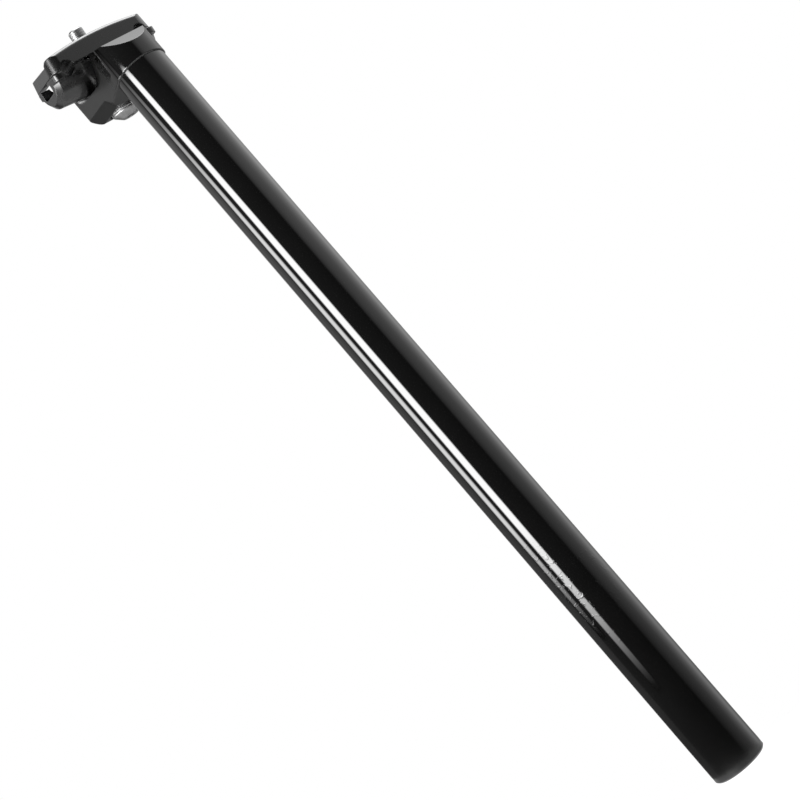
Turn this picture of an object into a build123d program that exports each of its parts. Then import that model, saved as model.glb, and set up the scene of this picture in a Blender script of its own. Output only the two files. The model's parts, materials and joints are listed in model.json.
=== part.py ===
"""Bicycle seatpost: a straight tube, a forged head set back behind it and a single-bolt saddle clamp.

Millimetres. The origin is the centre of the tube's lower end, +Z runs up the tube and -Y points
to the front of the bicycle, so the clamp sits behind the tube, on the +Y side.
"""

import os
from math import cos, radians, sin, sqrt, tan

from build123d import *

os.makedirs("parts", exist_ok=True)

# Tube
tube_diameter = 27.2
tube_wall = 2.2
tube_length = 417.5
tube_end_chamfer = 0.8
tube_bore_chamfer = 0.5

# Head: the collar that continues the tube and the spigot bonded inside it
collar_diameter = 28.6
collar_edge_chamfer = 0.5
spigot_length = 34.0
spigot_bond_gap = 0.05
spigot_bore = 15.0
spigot_bore_above_collar = 5.0

# Head: heights are above the collar's lower edge, reaches are behind the tube's axis
head_rear_reach = 46.8
head_rear_height = 25.0
head_rear_corner_radius = 1.5
underside_knee_reach = 21.0
underside_knee_height = 0.2
underside_slope = 13.0
underside_rear_radius = 3.5
front_slope_height = 9.1
front_slope_top_reach = -6.8
front_slope_top_height = 17.0
top_ramp_end_reach = 9.6
top_ramp_end_height = 24.2
side_pocket_depth = 5.0
side_pocket_front = 4.2
side_pocket_rear = 44.2
side_pocket_floor_gap = 0.5
side_pocket_floor_slope = 15.0
side_pocket_corner_radius = 9.0
side_pocket_root_radius = 3.5
lower_bevel_width = 4.9
lower_bevel_height = 5.2
lower_bevel_front = 21.0
lower_bevel_front_facing = (0.70, 0.52, -0.48)

# Clamp: it turns about a cross axis, the pivot, and leans forward with the saddle
pivot_setback = 28.0
pivot_height = 29.3
clamp_lean = 14.5
tilt_nose_down = 3.0
tilt_nose_up = 10.0
rail_diameter = 7.0
rail_spacing = 44.0
rail_clearance = 0.1

# Lower cradle
cradle_radius = 13.4
cradle_end_radius = 12.4
cradle_length = 61.2
cradle_straight_length = 28.0
cradle_seat_clearance = 0.3
cradle_edge_chamfer = 2.4
clamp_split_gap = 0.8
ear_front_reach = 15.5
ear_rear_reach = 14.0
ear_thickness = 3.0
ear_corner_radius = 4.0
ear_head_clearance = 0.5
end_notch_setback = 0.5
end_notch_width = 13.0
end_notch_depth = 5.8
end_notch_corner_radius = 2.0
bolt_hole_clearance = 0.4

# Upper plate
plate_end_setback = 0.6
plate_front_depth = 16.5
plate_rear_depth = 14.5
plate_thickness = 10.0
plate_crown_radius = 175.0
plate_draft = 8.0
plate_front_edge_radius = 2.4
plate_rear_round = 6.0
plate_front_corner_radius = 8.0
plate_rear_corner_radius = 3.5
plate_end_round_radius = 8.0
plate_end_round_width = 5.0
plate_end_round_drop = 4.5
plate_rib_thickness = 5.4
relief_inner_reach = 16.0
relief_step = 2.6
relief_floor_height = 5.3
relief_floor_rise = 0.9
relief_rear_round = 4.0

# Bolt and its washer
bolt_diameter = 7.8
bolt_tip_above_plate = 7.2
bolt_tip_chamfer = 0.8
bolt_head_diameter = 16.0
bolt_head_height = 3.7
bolt_head_rim = 0.8
bolt_crown_diameter = 8.4
bolt_socket_across_flats = 5.0
bolt_socket_depth = 2.4
washer_diameter = 16.6
washer_thickness = 1.4
washer_edge_chamfer = 0.3
washer_track_depth = 1.0
washer_track_clearance = 0.3
thread_clearance = 0.05


def underside(reach):
    """Height of the head's sloping underside at a reach behind the knee."""
    return underside_knee_height + (reach - underside_knee_reach) * tan(radians(underside_slope))


def pocket_floor(reach):
    """Height of the side pocket's floor, which runs just below the cradle's hollow seat."""
    below_pivot = (seat_radius + side_pocket_floor_gap) / cos(radians(side_pocket_floor_slope))
    return pivot_height - below_pivot + (reach - pivot_setback) * tan(radians(side_pocket_floor_slope))


# Values that follow from the sizes above
tube_radius = tube_diameter / 2
tube_bore_radius = tube_radius - tube_wall
collar_radius = collar_diameter / 2
spigot_radius = tube_bore_radius - spigot_bond_gap
bolt_radius = bolt_diameter / 2
washer_radius = washer_diameter / 2
lean_sin = sin(radians(clamp_lean))
lean_cos = cos(radians(clamp_lean))
pivot = Vector(0, pivot_setback, tube_length + pivot_height)
seat_radius = cradle_radius + cradle_seat_clearance
rail_groove_radius = rail_diameter / 2 + rail_clearance
underside_distance = (pivot_height - underside(pivot_setback)) * cos(radians(underside_slope))
washer_track_radius = underside_distance - washer_track_depth
washer_seat_radius = washer_track_radius + washer_track_clearance
swing_front = washer_track_radius * sin(radians(tilt_nose_up))
swing_rear = washer_track_radius * sin(radians(tilt_nose_down))
swing_length = swing_front + swing_rear
swing_middle = (swing_rear - swing_front) / 2
bolt_hole_diameter = bolt_diameter + 2 * bolt_hole_clearance
recess_width = washer_diameter + 2 * bolt_hole_clearance
plate_length = cradle_length - 2 * plate_end_setback
plate_bottom = clamp_split_gap / 2
plate_top = plate_bottom + plate_thickness

# Planes: the head's side view, and the clamp's own top, front and side views through its pivot
head_side = Plane(origin=(0, 0, tube_length), x_dir=(0, 1, 0), z_dir=(1, 0, 0))
clamp_top = Plane(origin=pivot, x_dir=(1, 0, 0), z_dir=(0, -lean_sin, lean_cos))
clamp_front = Plane(origin=pivot, x_dir=(1, 0, 0), z_dir=(0, -lean_cos, -lean_sin))
clamp_side = Plane(origin=pivot, x_dir=(0, lean_cos, lean_sin), z_dir=(1, 0, 0))
pivot_axis = Axis(pivot, (1, 0, 0))

# Tube: drawn aluminium, open at its lower end
with BuildPart() as post_tube:
    with BuildSketch():
        Circle(tube_radius)
        Circle(tube_bore_radius, mode=Mode.SUBTRACT)
    extrude(amount=tube_length)
    lower_rims = post_tube.edges().group_by(Axis.Z)[0].sort_by(SortBy.RADIUS)
    chamfer(lower_rims[0], length=tube_bore_chamfer)
    chamfer(lower_rims[-1], length=tube_end_chamfer)

# Side pocket of the head, as the shape that is taken out on the right
pocket_top = head_rear_height + cradle_radius
with BuildPart() as side_pocket:
    with BuildSketch(head_side.offset(collar_radius - side_pocket_depth)):
        with BuildLine():
            FilletPolyline(
                (side_pocket_front, pocket_top),
                (side_pocket_front, pocket_floor(side_pocket_front)),
                (side_pocket_rear, pocket_floor(side_pocket_rear)),
                (side_pocket_rear, pocket_top),
                radius=side_pocket_corner_radius,
                close=True,
            )
        make_face()
    extrude(amount=2 * side_pocket_depth)
    fillet(side_pocket.faces().sort_by(Axis.X)[0].edges(), radius=side_pocket_root_radius)

# Lower bevel of the head, as the wedge that is taken off its right lower edge
bevel_low = underside(lower_bevel_front)
bevel_corner = (collar_radius, lower_bevel_front, tube_length + bevel_low + lower_bevel_height)
bevel_section = Plane(origin=(0, lower_bevel_front, tube_length), x_dir=(1, 0, 0), z_dir=(0, -1, 0))
bevel_direction = (0, cos(radians(underside_slope)), sin(radians(underside_slope)))
with BuildPart() as lower_bevel:
    with BuildSketch(bevel_section):
        with BuildLine():
            Polyline(
                (collar_radius, bevel_low + lower_bevel_height),
                (collar_radius - 2 * lower_bevel_width, bevel_low - lower_bevel_height),
                (2 * collar_radius, bevel_low - lower_bevel_height),
                (2 * collar_radius, bevel_low + lower_bevel_height),
                close=True,
            )
        make_face()
    extrude(amount=2 * head_rear_reach, dir=bevel_direction, both=True)
    split(bisect_by=Plane(origin=bevel_corner, z_dir=lower_bevel_front_facing), keep=Keep.TOP)

# Washer recess of the head, as the shape that is taken out around the washer's curved track
with BuildPart() as washer_recess:
    with BuildSketch(clamp_top):
        with Locations((0, swing_middle)):
            SlotOverall(recess_width + swing_length, recess_width, rotation=90)
    extrude(amount=-2 * washer_track_radius)
    with BuildSketch(clamp_side):
        Circle(washer_track_radius)
    extrude(amount=washer_diameter, both=True, mode=Mode.SUBTRACT)

# Head: forged, with the collar, the set-back block and the hollow seat of the cradle
with BuildPart() as head:
    with BuildSketch(Plane.XY.offset(tube_length)):
        Circle(collar_radius)
        with BuildLine():
            FilletPolyline(
                (-collar_radius, 0),
                (-collar_radius, head_rear_reach),
                (collar_radius, head_rear_reach),
                (collar_radius, 0),
                radius=head_rear_corner_radius,
            )
            Line((collar_radius, 0), (-collar_radius, 0))
        make_face()
    extrude(amount=pivot_height)
    chamfer(head.edges().group_by(Axis.Z)[0], length=collar_edge_chamfer)
    with BuildSketch(head_side):
        with BuildLine():
            Polyline(
                (-2 * collar_radius, 0),
                (collar_radius, 0),
                (underside_knee_reach, underside_knee_height),
                (head_rear_reach, underside(head_rear_reach)),
                (head_rear_reach, head_rear_height),
                (pivot_setback, head_rear_height),
                (pivot_setback, top_ramp_end_height),
                (top_ramp_end_reach, top_ramp_end_height),
                (front_slope_top_reach, front_slope_top_height),
                (-collar_radius, front_slope_height),
                (-2 * collar_radius, front_slope_height),
                close=True,
            )
        make_face()
        rear_corner = vertices().sort_by_distance((head_rear_reach, underside(head_rear_reach)))[0]
        fillet(rear_corner, radius=underside_rear_radius)
    extrude(amount=2 * collar_radius, both=True, mode=Mode.INTERSECT)
    add(side_pocket.part, mode=Mode.SUBTRACT)
    add(mirror(side_pocket.part, about=Plane.YZ, mode=Mode.PRIVATE), mode=Mode.SUBTRACT)
    add(lower_bevel.part, mode=Mode.SUBTRACT)
    add(mirror(lower_bevel.part, about=Plane.YZ, mode=Mode.PRIVATE), mode=Mode.SUBTRACT)
    with BuildSketch(Plane.XY.offset(tube_length)):
        Circle(spigot_radius)
    extrude(amount=-spigot_length)
    with BuildSketch(Plane.XY.offset(tube_length - spigot_length)):
        Circle(spigot_bore / 2)
    extrude(amount=spigot_length + spigot_bore_above_collar, mode=Mode.SUBTRACT)
    with BuildSketch(clamp_side):
        Circle(seat_radius)
    extrude(amount=2 * collar_radius, both=True, mode=Mode.SUBTRACT)
    add(washer_recess.part, mode=Mode.SUBTRACT)
    with BuildSketch(clamp_top):
        with Locations((0, swing_middle)):
            SlotOverall(bolt_hole_diameter + swing_length, bolt_hole_diameter, rotation=90)
    extrude(amount=-2 * washer_track_radius, mode=Mode.SUBTRACT)

# Lower cradle: forged, a half-round barrel that rocks in the head's seat, with an ear under each rail
ear_middle = (ear_rear_reach - ear_front_reach) / 2
with BuildPart() as lower_cradle:
    with BuildSketch(clamp_front):
        with BuildLine():
            Polyline(
                (-cradle_length / 2, 0),
                (-cradle_length / 2, -cradle_end_radius),
                (-cradle_straight_length / 2, -cradle_radius),
                (cradle_straight_length / 2, -cradle_radius),
                (cradle_length / 2, -cradle_end_radius),
                (cradle_length / 2, 0),
                close=True,
            )
        make_face()
    revolve(axis=pivot_axis)
    end_rims = lower_cradle.edges().filter_by(GeomType.CIRCLE).sort_by(Axis.X)
    chamfer([end_rims[0], end_rims[-1]], length=cradle_edge_chamfer)
    with BuildSketch(clamp_top.offset(-clamp_split_gap / 2)):
        with Locations((0, ear_middle)):
            RectangleRounded(cradle_length, ear_front_reach + ear_rear_reach, ear_corner_radius)
        Rectangle(2 * (collar_radius + ear_head_clearance), 4 * cradle_radius, mode=Mode.SUBTRACT)
    extrude(amount=-ear_thickness)
    with BuildSketch(clamp_top.offset(-clamp_split_gap / 2)):
        Rectangle(2 * cradle_length, 4 * cradle_radius)
    extrude(amount=2 * cradle_radius, mode=Mode.SUBTRACT)
    with BuildSketch(clamp_front):
        with Locations((-rail_spacing / 2, 0), (rail_spacing / 2, 0)):
            Circle(rail_groove_radius)
    extrude(amount=2 * cradle_radius, both=True, mode=Mode.SUBTRACT)
    with BuildSketch(clamp_side.offset(rail_spacing / 2), clamp_side.offset(-cradle_length)):
        with Locations((end_notch_setback, 0)):
            RectangleRounded(end_notch_width, 2 * end_notch_depth, end_notch_corner_radius)
    extrude(amount=cradle_length - rail_spacing / 2, mode=Mode.SUBTRACT)
    with BuildSketch(clamp_top):
        Circle(bolt_hole_diameter / 2)
    extrude(amount=-2 * cradle_radius, mode=Mode.SUBTRACT)

# Relief of the upper plate, as the shape that is taken out over the right rail behind the front rib
relief_front = plate_rib_thickness - plate_front_depth
relief_floor = plate_bottom + relief_floor_height
with BuildPart() as end_relief:
    with BuildSketch(clamp_side.offset(relief_inner_reach)):
        with BuildLine():
            Polyline(
                (relief_front, 2 * plate_top),
                (relief_front, plate_top),
                (relief_front + relief_step, relief_floor),
                (plate_rear_depth - relief_rear_round, relief_floor + relief_floor_rise),
            )
            RadiusArc(
                (plate_rear_depth - relief_rear_round, relief_floor + relief_floor_rise),
                (plate_rear_depth, relief_floor + relief_floor_rise - relief_rear_round),
                relief_rear_round,
            )
            Polyline(
                (plate_rear_depth, relief_floor + relief_floor_rise - relief_rear_round),
                (2 * plate_rear_depth, relief_floor + relief_floor_rise - relief_rear_round),
                (2 * plate_rear_depth, 2 * plate_top),
                (relief_front, 2 * plate_top),
            )
        make_face()
    extrude(amount=plate_length)

# End round of the upper plate, as the shape that is taken off over its right end
crown_drop = plate_crown_radius - plate_top
end_top = sqrt(plate_crown_radius**2 - (plate_length / 2) ** 2) - crown_drop
round_inner = plate_length / 2 - plate_end_round_width
round_low = end_top - plate_end_round_drop
with BuildPart() as end_round:
    with BuildSketch(clamp_front):
        with BuildLine():
            RadiusArc((round_inner, plate_top), (plate_length / 2, round_low), plate_end_round_radius)
            Polyline(
                (plate_length / 2, round_low),
                (plate_length, round_low),
                (plate_length, 2 * plate_top),
                (round_inner, 2 * plate_top),
                (round_inner, plate_top),
            )
        make_face()
    extrude(amount=2 * plate_front_depth, both=True)

# Upper plate: forged, a crowned bar across both rails, tapped for the bolt
crown_centre = pivot - clamp_top.z_dir * crown_drop
crown_axis = Axis(crown_centre, clamp_side.x_dir)
crown_start = Plane(
    origin=crown_centre + Vector(crown_drop, 0, 0),
    x_dir=clamp_side.x_dir,
    z_dir=-clamp_top.z_dir,
)
plate_middle = (plate_rear_depth - plate_front_depth) / 2
draft_setback = plate_thickness * tan(radians(plate_draft))
with BuildPart() as upper_plate:
    with BuildSketch(crown_start):
        with BuildLine():
            Polyline(
                (-plate_front_depth, plate_bottom - plate_thickness),
                (plate_rear_depth, plate_bottom - plate_thickness),
                (plate_rear_depth, plate_top),
                (draft_setback - plate_front_depth, plate_top),
                (-plate_front_depth, plate_bottom),
                close=True,
            )
        make_face()
        top_corners = vertices().group_by(Axis.Y)[-1].sort_by(Axis.X)
        fillet(top_corners[-1], radius=plate_rear_round)
        fillet(vertices().sort_by_distance(top_corners[0])[0], radius=plate_front_edge_radius)
    revolve(axis=crown_axis)
    with BuildSketch(clamp_top.offset(plate_bottom)):
        with Locations((0, plate_middle)):
            Rectangle(plate_length, plate_front_depth + plate_rear_depth)
        fillet(vertices().group_by(Axis.Y)[0], radius=plate_front_corner_radius)
        fillet(vertices().group_by(Axis.Y)[-1], radius=plate_rear_corner_radius)
    extrude(amount=2 * plate_thickness, taper=plate_draft, mode=Mode.INTERSECT)
    add(end_round.part, mode=Mode.SUBTRACT)
    add(mirror(end_round.part, about=Plane.YZ, mode=Mode.PRIVATE), mode=Mode.SUBTRACT)
    add(end_relief.part, mode=Mode.SUBTRACT)
    add(mirror(end_relief.part, about=Plane.YZ, mode=Mode.PRIVATE), mode=Mode.SUBTRACT)
    with BuildSketch(clamp_front):
        with Locations((-rail_spacing / 2, 0), (rail_spacing / 2, 0)):
            Circle(rail_groove_radius)
    extrude(amount=2 * plate_front_depth, both=True, mode=Mode.SUBTRACT)
    with BuildSketch(clamp_top):
        Circle(bolt_radius + thread_clearance)
    extrude(amount=2 * plate_top, mode=Mode.SUBTRACT)

# Washer: turned steel, hollowed on top to ride the head's curved track
washer_low = washer_seat_radius + washer_thickness
with BuildPart() as bolt_washer:
    with BuildSketch(clamp_top.offset(-washer_low)):
        Circle(washer_radius)
        Circle(bolt_hole_diameter / 2, mode=Mode.SUBTRACT)
    extrude(amount=washer_low)
    lower_edges = bolt_washer.faces().sort_by(Axis.Z)[0].edges().sort_by(SortBy.RADIUS)
    chamfer(lower_edges[-1], length=washer_edge_chamfer)
    with BuildSketch(clamp_side):
        Circle(washer_seat_radius)
    extrude(amount=washer_diameter, both=True, mode=Mode.SUBTRACT)

# Bolt: one cone-headed socket screw from below, its tip standing out of the upper plate
bolt_axis = Axis(pivot, (0, -lean_sin, lean_cos))
bolt_tip = plate_top + bolt_tip_above_plate
with BuildPart() as clamp_bolt:
    with BuildSketch(clamp_front):
        with BuildLine():
            Polyline(
                (0, -washer_low - bolt_head_height),
                (0, bolt_tip),
                (bolt_radius - bolt_tip_chamfer, bolt_tip),
                (bolt_radius, bolt_tip - bolt_tip_chamfer),
                (bolt_radius, -washer_low),
                (bolt_head_diameter / 2, -washer_low),
                (bolt_head_diameter / 2, -washer_low - bolt_head_rim),
                (bolt_crown_diameter / 2, -washer_low - bolt_head_height),
                close=True,
            )
        make_face()
    revolve(axis=bolt_axis)
    with BuildSketch(clamp_top.offset(-washer_low - bolt_head_height)):
        RegularPolygon(bolt_socket_across_flats / 2, 6, major_radius=False)
    extrude(amount=bolt_socket_depth, mode=Mode.SUBTRACT)

for name, piece in (
    ("post_tube", post_tube),
    ("head", head),
    ("lower_cradle", lower_cradle),
    ("upper_plate", upper_plate),
    ("bolt_washer", bolt_washer),
    ("clamp_bolt", clamp_bolt),
):
    piece.part.label = name
    export_step(piece.part, f"parts/{name}.step")
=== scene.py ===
"""Looks of a bicycle seatpost: gloss black tube, forged head and saddle clamp, bright steel bolt.

Metres, in the part's own frame: the tube stands along +Z and the clamp is set back to +Y.
"""

import json
import math

import bpy
from mathutils import Matrix, Vector


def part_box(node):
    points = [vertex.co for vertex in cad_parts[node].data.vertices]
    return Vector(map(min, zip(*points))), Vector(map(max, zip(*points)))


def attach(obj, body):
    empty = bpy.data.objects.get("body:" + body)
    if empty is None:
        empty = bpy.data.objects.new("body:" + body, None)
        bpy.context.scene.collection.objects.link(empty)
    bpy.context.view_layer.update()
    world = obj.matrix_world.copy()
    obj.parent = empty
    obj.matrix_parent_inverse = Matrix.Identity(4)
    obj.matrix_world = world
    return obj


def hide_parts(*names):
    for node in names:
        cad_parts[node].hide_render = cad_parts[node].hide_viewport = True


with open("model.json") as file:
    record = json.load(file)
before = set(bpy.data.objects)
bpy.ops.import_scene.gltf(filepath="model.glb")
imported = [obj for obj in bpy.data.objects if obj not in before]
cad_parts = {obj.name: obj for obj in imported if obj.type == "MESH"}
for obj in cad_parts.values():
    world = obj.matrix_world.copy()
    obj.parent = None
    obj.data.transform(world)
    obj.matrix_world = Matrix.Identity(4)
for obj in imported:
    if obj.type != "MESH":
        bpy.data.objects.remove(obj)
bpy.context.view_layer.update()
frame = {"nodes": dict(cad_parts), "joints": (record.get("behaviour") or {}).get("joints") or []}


# Tube: drawn aluminium, polished and anodised gloss black, to be pinched in a frame's seat tube.
# Sliding it in and out has left a few faint rubbed marks on its lower half.
def shader_node(tree, kind, inputs, **settings):
    """A new node with its settings, and inputs that are plain values or other nodes' outputs."""
    made = tree.nodes.new("ShaderNode" + kind)
    for setting, value in settings.items():
        setattr(made, setting, value)
    for name, value in inputs.items():
        if isinstance(value, bpy.types.NodeSocket):
            tree.links.new(value, made.inputs[name])
        else:
            made.inputs[name].default_value = value
    return made


def carried(tree, value, start, end, to_start=0.0, to_end=1.0, blend="LINEAR"):
    """A value carried over from one range to another and held inside it."""
    ranges = {"Value": value, "From Min": start, "From Max": end, "To Min": to_start, "To Max": to_end}
    return shader_node(tree, "MapRange", ranges, interpolation_type=blend).outputs["Result"]


def places(tree, space):
    """Places in one space of a surface, or the directions toward the studio's walls."""
    return shader_node(tree, "TexCoord", {}).outputs[space]


def noise(tree, scale, detail, distortion=0.0, stretch=(1, 1, 1)):
    """Level of a soft random pattern that is fixed to the object."""
    stretched = shader_node(tree, "Mapping", {"Vector": places(tree, "Object"), "Scale": stretch})
    pattern = {
        "Vector": stretched.outputs["Vector"],
        "Scale": scale,
        "Detail": detail,
        "Distortion": distortion,
    }
    return shader_node(tree, "TexNoise", pattern).outputs["Fac"]


def clouded(name, cloud_scale, cloud_detail, tones, roughness_ends):
    """A finish whose colour drifts between two tones, and its roughness with it."""
    finish = bpy.data.materials.new(name)
    finish.use_nodes = True
    tree = finish.node_tree
    shader = tree.nodes["Principled BSDF"]
    cloud = noise(tree, cloud_scale, cloud_detail)
    tint = shader_node(tree, "ValToRGB", {"Fac": cloud})
    for stop, (position, tone) in zip(tint.color_ramp.elements, tones):
        stop.position = position
        stop.color = (*tone, 1)
    tree.links.new(tint.outputs["Color"], shader.inputs["Base Color"])
    tree.links.new(carried(tree, cloud, 0, 1, *roughness_ends), shader.inputs["Roughness"])
    return finish


def gloss_black(name, shade, roughness, cloud_scale, edge_radius):
    """Anodised black: a slightly uneven dark base with softened edges under a clear sealing coat."""
    dark = [shade * share for share in (0.75, 0.75, 0.73)]
    light = [shade * share for share in (1.25, 1.25, 1.22)]
    finish = clouded(
        name,
        cloud_scale,
        cloud_detail=6.0,
        tones=((0.35, dark), (0.70, light)),
        roughness_ends=(roughness * 0.7, roughness * 1.5),
    )
    tree = finish.node_tree
    shader = tree.nodes["Principled BSDF"]
    seal = {"IOR": 1.8, "Coat Weight": 1.0, "Coat IOR": 1.6, "Coat Roughness": roughness}
    for socket, value in seal.items():
        shader.inputs[socket].default_value = value
    soft_edges = shader_node(tree, "Bevel", {"Radius": edge_radius}, samples=6)
    for normal in ("Normal", "Coat Normal"):
        tree.links.new(soft_edges.outputs["Normal"], shader.inputs[normal])
    return finish


tube_black = gloss_black(
    "tube_gloss_black", shade=0.0025, roughness=0.05, cloud_scale=40, edge_radius=0.0003
)
rub_height = 0.105
rub_reach = 0.032
rub_full_reach = rub_reach * 0.3
rub_scale = 260
rub_detail = 3.0
rub_distortion = 1.5
rub_faintest = 0.57
rub_strongest = 0.72
rub_depth = 0.00012
rub_strength = 0.3


def place_along(tree, space, axis):
    """Place, or direction, along one axis of a space."""
    return shader_node(tree, "SeparateXYZ", {"Vector": places(tree, space)}).outputs[axis]


def arithmetic(tree, operation, *terms):
    """Result of one step of arithmetic on plain numbers or other nodes' outputs."""
    return shader_node(tree, "Math", dict(enumerate(terms)), operation=operation).outputs["Value"]


tree = tube_black.node_tree
rub_peaks = carried(tree, noise(tree, rub_scale, rub_detail, rub_distortion), rub_faintest, rub_strongest)
from_middle = arithmetic(tree, "SUBTRACT", place_along(tree, "Object", "Z"), rub_height)
rub_zone = carried(tree, arithmetic(tree, "ABSOLUTE", from_middle), rub_reach, rub_full_reach)
rub_relief = {
    "Strength": rub_strength,
    "Distance": rub_depth,
    "Height": arithmetic(tree, "MULTIPLY", rub_peaks, rub_zone),
    "Normal": tree.nodes["Bevel"].outputs["Normal"],
}
rubs = shader_node(tree, "Bump", rub_relief)
for normal in ("Normal", "Coat Normal"):
    tree.links.new(rubs.outputs["Normal"], tree.nodes["Principled BSDF"].inputs[normal])


def dress(node, finish):
    """Gives a CAD node its finish."""
    mesh = frame["nodes"][node].data
    mesh.materials.clear()
    mesh.materials.append(finish)


dress("post_tube", tube_black)

# Head: forged aluminium, bonded to the tube by its spigot and anodised with it, without the seal.
# The collar is turned and polished like the tube, and the block behind it stays satin as forged.
head_ior = 2.1
collar_roughness = 0.03
block_roughness = 0.28
block_start = 0.001
block_full = 0.006
head_black = gloss_black(
    "head_gloss_black", shade=0.003, roughness=collar_roughness, cloud_scale=110, edge_radius=0.0005
)
tree = head_black.node_tree
shader = tree.nodes["Principled BSDF"]
shader.inputs["Coat Weight"].default_value = 0.0
shader.inputs["IOR"].default_value = head_ior
collar_gloss = shader.inputs["Roughness"].links[0].from_socket
setback = place_along(tree, "Object", "Y")
forged = carried(tree, setback, block_start, block_full, to_end=block_roughness - collar_roughness)
tree.links.new(arithmetic(tree, "ADD", collar_gloss, forged), shader.inputs["Roughness"])
dress("head", head_black)

# Lower cradle: a forged aluminium half-round barrel that rocks in the head's seat under the rails.
# Its black is the head's, a touch duller from the rubbing of its seat.
clamp_black = gloss_black(
    "clamp_gloss_black", shade=0.003, roughness=0.24, cloud_scale=140, edge_radius=0.0005
)
dress("lower_cradle", clamp_black)

# Upper plate: a forged and crowned aluminium bar across both rails, pulled down by the bolt.
# It comes from the same batch of black as the cradle.
dress("upper_plate", clamp_black)


# Washer: turned steel, hollowed to ride the curved track under the head, zinc plated.
# Turning leaves fine rings on it, which the plating only partly fills.
def plated_steel(name, shade, roughness, ring_spacing):
    """Zinc-plated steel: bright and slightly cloudy, with fine marks across its axis."""
    dark = [shade * share for share in (0.80, 0.80, 0.79)]
    light = [shade * share for share in (1.05, 1.05, 1.06)]
    finish = clouded(
        name,
        cloud_scale=350,
        cloud_detail=5.0,
        tones=((0.30, dark), (0.75, light)),
        roughness_ends=(roughness * 0.7, roughness * 1.3),
    )
    tree = finish.node_tree
    shader = tree.nodes["Principled BSDF"]
    shader.inputs["Metallic"].default_value = 1.0
    rings = noise(tree, 1 / ring_spacing, detail=2.0, stretch=(0.03, 0.03, 1))
    marks = shader_node(tree, "Bump", {"Strength": 0.05, "Distance": ring_spacing * 0.2, "Height": rings})
    tree.links.new(marks.outputs["Normal"], shader.inputs["Normal"])
    return finish


dress("bolt_washer", plated_steel("washer_steel", shade=0.60, roughness=0.40, ring_spacing=0.0003))


# Bolt: one plated steel M8 screw with a coned socket head, driven from below and tapped into the plate.
# Its thread is rolled, so the crests are rounded, and the tip is chamfered to start it.
def mesh_piece(name, points, faces):
    """A new object in the scene, from its points and faces."""
    mesh = bpy.data.meshes.new(name)
    mesh.from_pydata(points, [], faces)
    piece = bpy.data.objects.new(name, mesh)
    bpy.context.scene.collection.objects.link(piece)
    return piece


pivot = Vector(frame["joints"][0]["pos_m"])
clamp_lean = math.radians(14.5)
bolt_up = Vector((0, -math.sin(clamp_lean), math.cos(clamp_lean)))
bolt_levels = [bolt_up.dot(v.co - pivot) for v in frame["nodes"]["clamp_bolt"].data.vertices]
bolt_bottom = min(bolt_levels)
bolt_top = max(bolt_levels)
bolt_low, bolt_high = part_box("clamp_bolt")
head_radius = (bolt_high.x - bolt_low.x) / 2
head_height = 0.0037
head_rim = 0.0008
crown_radius = 0.0042
socket_half_flats = 0.0025
socket_depth = 0.0024
rim_round = 0.0002
crest_radius = 0.0039
thread_depth = 0.00006
thread_pitch = 0.00125
thread_length = 0.022
thread_rows_per_turn = 10
tip_chamfer = 0.0008
around_steps = 72
crease_angle = math.radians(35)


def hexagon(angle):
    """Radius of the socket's hexagon in one direction."""
    return socket_half_flats / math.cos((angle + math.pi / 6) % (math.pi / 3) - math.pi / 6)


def thread_radius(height, angle):
    """Radius of the thread: rounded ridges that climb one pitch a turn and run out into shank and tip."""
    phase = 2 * math.pi * height / thread_pitch - angle
    groove = thread_depth * (0.5 - 0.5 * math.cos(phase))
    run_in = min(1, max(0, (height - (bolt_top - thread_length)) / thread_pitch))
    chamfer = crest_radius - tip_chamfer + (bolt_top - height)
    return min(crest_radius - groove * run_in, chamfer)


shoulder = bolt_bottom + head_height
rows = [
    (bolt_bottom + socket_depth, hexagon),
    (bolt_bottom + rim_round, hexagon),
    (bolt_bottom, lambda angle: hexagon(angle) + rim_round),
    (bolt_bottom, lambda angle: crown_radius - rim_round),
    (bolt_bottom + rim_round / 2, lambda angle: crown_radius + rim_round / 2),
    (shoulder - head_rim - rim_round / 2, lambda angle: head_radius - rim_round / 2),
    (shoulder - head_rim + rim_round / 2, lambda angle: head_radius),
    (shoulder - rim_round, lambda angle: head_radius),
    (shoulder, lambda angle: head_radius - rim_round),
    (shoulder, lambda angle: crest_radius),
]
thread_row_count = round(thread_length / thread_pitch * thread_rows_per_turn)
for step in range(thread_row_count + 1):
    height = bolt_top - thread_length * (1 - step / thread_row_count)
    rows.append((height, lambda angle, height=height: thread_radius(height, angle)))
points = []
for height, radius_at in rows:
    for step in range(around_steps):
        angle = 2 * math.pi * step / around_steps
        radius = radius_at(angle)
        points.append((radius * math.cos(angle), radius * math.sin(angle), height))
socket_floor = tuple(range(around_steps))
faces = [socket_floor]
for row in range(len(rows) - 1):
    first = row * around_steps
    second = first + around_steps
    for step in range(around_steps):
        after = (step + 1) % around_steps
        faces.append((first + step, second + step, second + after, first + after))
tip = reversed(range(len(points) - around_steps, len(points)))
faces.append(tuple(tip))
threaded_bolt = mesh_piece("threaded_bolt", points, faces)
threaded_bolt.data.transform(Matrix.Translation(pivot) @ Matrix.Rotation(clamp_lean, 4, "X"))
threaded_bolt.data.validate()
threaded_bolt.data.shade_smooth()
threaded_bolt.data.set_sharp_from_angle(angle=crease_angle)
bolt_steel = plated_steel("bolt_steel", shade=0.58, roughness=0.42, ring_spacing=0.0003)
threaded_bolt.data.materials.append(bolt_steel)
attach(threaded_bolt, "clamp")
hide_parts("clamp_bolt")


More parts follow.
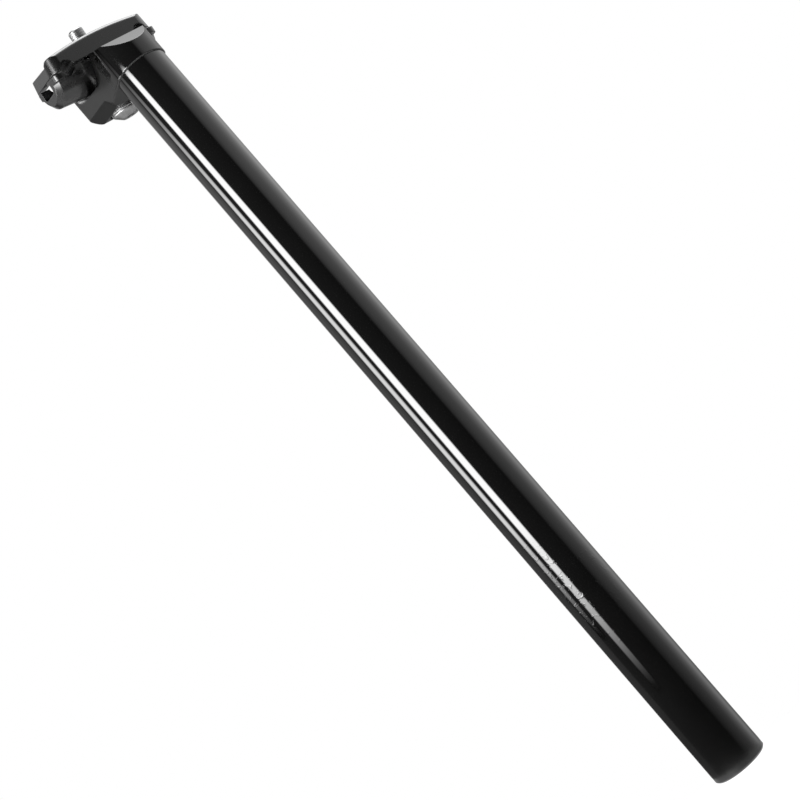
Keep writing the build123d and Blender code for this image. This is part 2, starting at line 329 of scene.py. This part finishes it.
# Floor: a round table, painted pale grey, well below the post, which keeps its shadow.
# It glows white where the camera sees it, so that it joins the white walls, and near the post it glows
# faintly in the gloss alone: a painted reflection.
def ray_kinds(tree, kinds):
    """One for the kinds of ray named and nought for the others."""
    rays = shader_node(tree, "LightPath", {})
    level = rays.outputs[kinds[0]]
    for kind in kinds[1:]:
        level = arithmetic(tree, "MAXIMUM", level, rays.outputs[kind])
    return level


floor_drop = 0.15
floor_radius = 0.70
floor_steps = 96
floor_tone = 0.45
floor_roughness = 0.9
floor_lift = 0.75
mirrored_share = 0.25
mirrored_full = 0.05
mirrored_end = 0.30
mirrored_rays = ("Is Glossy Ray",)
seen_rays = ("Is Camera Ray", "Is Transmission Ray")
floor_rim = []
for step in range(floor_steps):
    angle = 2 * math.pi * step / floor_steps
    floor_rim.append((floor_radius * math.cos(angle), floor_radius * math.sin(angle), 0))
floor = mesh_piece("floor", floor_rim, [tuple(range(floor_steps))])
floor.location.z = -floor_drop
floor_white = bpy.data.materials.new("floor_white")
floor_white.use_nodes = True
tree = floor_white.node_tree
paint = tree.nodes["Principled BSDF"]
paint.inputs["Base Color"].default_value = (floor_tone, floor_tone, floor_tone, 1)
paint.inputs["Roughness"].default_value = floor_roughness
paint.inputs["Emission Color"].default_value = (1, 1, 1, 1)
from_post = shader_node(tree, "VectorMath", {0: places(tree, "Object")}, operation="LENGTH").outputs["Value"]
# Painted reflection: near the post the table glows for glossy rays alone, fading out toward mirrored_end.
painted_reflection_near_post = carried(tree, from_post, mirrored_end, mirrored_full, to_end=mirrored_share, blend="SMOOTHSTEP")
in_gloss = arithmetic(tree, "MULTIPLY", painted_reflection_near_post, ray_kinds(tree, mirrored_rays))
in_view = arithmetic(tree, "ADD", in_gloss, ray_kinds(tree, seen_rays))
tree.links.new(arithmetic(tree, "MULTIPLY", in_view, floor_lift), paint.inputs["Emission Strength"])
floor.data.materials.append(floor_white)


# Studio walls: pale behind the post and on its right, dark behind the camera and toward the floor.
# The gloss shows them as the tube's broad bands; the camera itself sees plain white.
# A ring of tones goes round at each rise, by bearing in degrees from the camera, left below nought.
def wall_light(tree, strength):
    """White light from the walls."""
    light = {"Color": (1, 1, 1, 1), "Strength": strength}
    return shader_node(tree, "Background", light).outputs["Background"]


camera_azimuth = -31.0
ground_tones = ((-180, 0.30), (-120, 0.50), (-60, 0.30), (60, 0.12), (100, 0.12), (180, 0.30))
lower_tones = (
    (-180, 0.08),
    (-146, 0.04),
    (-106, 0.09),
    (-98, 0.05),
    (40, 0.02),
    (46, 0.06),
    (84, 0.20),
    (126, 0.55),
    (156, 0.12),
    (180, 0.08),
)
upper_tones = (
    (-180, 0.45),
    (-166, 0.52),
    (-146, 0.14),
    (-130, 0.28),
    (-106, 0.28),
    (-98, 0.08),
    (40, 0.03),
    (47, 0.20),
    (58, 0.32),
    (84, 0.44),
    (130, 0.88),
    (156, 0.38),
    (180, 0.45),
)
ceiling_tones = ((-180, 0.45), (-120, 0.50), (-95, 0.08), (40, 0.03), (60, 0.30), (130, 0.60), (180, 0.45))
wall_rings = ((-0.45, ground_tones), (-0.20, lower_tones), (0.30, upper_tones), (0.65, ceiling_tones))
ambient_light = 0.3
backdrop_white = 1.0
world = bpy.data.worlds.new("studio")
bpy.context.scene.world = world
world.use_nodes = True
tree = world.node_tree
camera_ahead = (0, 0, math.radians(90 - camera_azimuth))
turned = shader_node(tree, "Mapping", {"Vector": places(tree, "Generated"), "Rotation": camera_ahead})
bearings = {"Vector": turned.outputs["Vector"]}
around = shader_node(tree, "TexGradient", bearings, gradient_type="RADIAL").outputs["Fac"]
upward = place_along(tree, "Generated", "Z")
walls = None
rise_below = None
for rise, tones in wall_rings:
    ring = shader_node(tree, "ValToRGB", {"Fac": around})
    stops = ring.color_ramp.elements
    while len(stops) < len(tones):
        stops.new(1.0)
    for stop, (bearing, tone) in zip(stops, tones):
        stop.position = 0.5 + bearing / 360
        stop.color = (tone, tone, tone, 1)
    if walls is None:
        walls = ring.outputs["Color"]
    else:
        climb = carried(tree, upward, rise_below, rise)
        blend = shader_node(tree, "Mix", {"Factor": climb, "A": walls, "B": ring.outputs["Color"]})
        walls = blend.outputs["Result"]
    rise_below = rise
studio = wall_light(tree, ambient_light)
for kinds, strength in ((mirrored_rays, walls), (seen_rays, backdrop_white)):
    choice = {0: ray_kinds(tree, kinds), 1: studio, 2: wall_light(tree, strength)}
    studio = shader_node(tree, "MixShader", choice).outputs["Shader"]
tree.links.new(studio, tree.nodes["World Output"].inputs["Surface"])


# Strip lamps: two tall softboxes on the left, which draw the bright lines down the tube.
# Each is a white cloth lit from behind, so it fades toward its sides and its ends.
def softbox(name, card_rows, radiance, soft_side, soft_foot, soft_head):
    """A lamp card from rows of left and right corners, brightest inside and fading toward its edges."""
    last_row = len(card_rows) - 1
    corners = [corner for card_row in card_rows for corner in card_row]
    panes = [(2 * row, 2 * row + 1, 2 * row + 3, 2 * row + 2) for row in range(last_row)]
    card = mesh_piece(name, corners, panes)
    card.visible_camera = False
    spread = card.data.uv_layers.new(name="spread")
    for loop in card.data.loops:
        row, side = divmod(loop.vertex_index, 2)
        spread.data[loop.index].uv = (side, row / last_row)
    glow = bpy.data.materials.new(name)
    glow.use_nodes = True
    tree = glow.node_tree
    tree.nodes.remove(tree.nodes["Principled BSDF"])
    strength = radiance
    for axis, fade_in, fade_out in (("X", soft_side, soft_side), ("Y", soft_foot, soft_head)):
        fade = shader_node(tree, "ValToRGB", {"Fac": place_along(tree, "UV", axis)})
        fade.color_ramp.interpolation = "EASE"
        stops = fade.color_ramp.elements
        for edge in (stops[0], stops[1]):
            edge.color = (0, 0, 0, 1)
        for position in (fade_in, 1 - fade_out):
            stops.new(position).color = (1, 1, 1, 1)
        strength = arithmetic(tree, "MULTIPLY", fade.outputs["Color"], strength)
    emission = shader_node(tree, "Emission", {"Strength": strength})
    tree.links.new(emission.outputs["Emission"], tree.nodes["Material Output"].inputs["Surface"])
    card.data.materials.append(glow)


strip_distance = 1.0
strip_row_count = 16


def strip(left, right_foot, right_middle, right_head, foot, head):
    """Rows of a tall card round the tube, from its left azimuth to its bulged right side, in degrees."""
    strip_rows = []
    for row in range(strip_row_count + 1):
        share = row / strip_row_count
        straight = right_foot + (right_head - right_foot) * share
        bulge = (right_middle - (right_foot + right_head) / 2) * 4 * share * (1 - share)
        height = foot + (head - foot) * share
        card_row = []
        for azimuth in (left, straight + bulge):
            turn = math.radians(azimuth)
            card_row.append((strip_distance * math.sin(turn), -strip_distance * math.cos(turn), height))
        strip_rows.append(card_row)
    return strip_rows


softbox(
    "main_lamp",
    strip(left=-93, right_foot=-66, right_middle=-61.3, right_head=-68.5, foot=-0.10, head=0.83),
    radiance=7.5,
    soft_side=0.22,
    soft_foot=0.28,
    soft_head=0.02,
)
softbox(
    "second_lamp",
    strip(left=-130, right_foot=-104, right_middle=-102.3, right_head=-111, foot=-0.02, head=0.88),
    radiance=4.5,
    soft_side=0.35,
    soft_foot=0.20,
    soft_head=0.36,
)

# Overhead lamp: a broad softbox above the post on its right, of the same cloth.
# It whitens the crowned top of the plate and lays the post's soft shadow on the table.
overhead_height = 1.6
overhead_half = 1.0
overhead_right = 0.6
overhead_front = 0.19
overhead_soft = 0.4
overhead_rows = []
for back in (-overhead_half, overhead_half):
    overhead_row = []
    for side in (-overhead_half, overhead_half):
        overhead_row.append((overhead_right + side, back - overhead_front, overhead_height))
    overhead_rows.append(overhead_row)
softbox(
    "overhead_lamp",
    overhead_rows,
    radiance=4.0,
    soft_side=overhead_soft,
    soft_foot=overhead_soft,
    soft_head=overhead_soft,
)

# Camera: low in front of the post on its left, rolled so that the tube runs corner to corner.
# Its focal length is counted in pixels of the square picture.
focal_pixels = 1457
image_pixels = 800
camera_distance = 0.6599
camera_height = 0.1475
camera_aim = Vector((-0.0078, 0.0046, 0.2199))
camera_roll = math.radians(-40.72)
camera_data = bpy.data.cameras.new("camera")
camera_data.sensor_width = 36.0
camera_data.lens = camera_data.sensor_width * focal_pixels / image_pixels
camera = bpy.data.objects.new("camera", camera_data)
bpy.context.scene.collection.objects.link(camera)
camera_turn = math.radians(camera_azimuth)
camera.location = (
    camera_distance * math.sin(camera_turn),
    -camera_distance * math.cos(camera_turn),
    camera_height,
)
look = (camera_aim - Vector(camera.location)).to_track_quat("-Z", "Y").to_matrix()
camera.rotation_euler = (look @ Matrix.Rotation(camera_roll, 3, "Z")).to_euler()
bpy.context.scene.camera = camera
bpy.context.scene.view_settings.view_transform = "Standard"
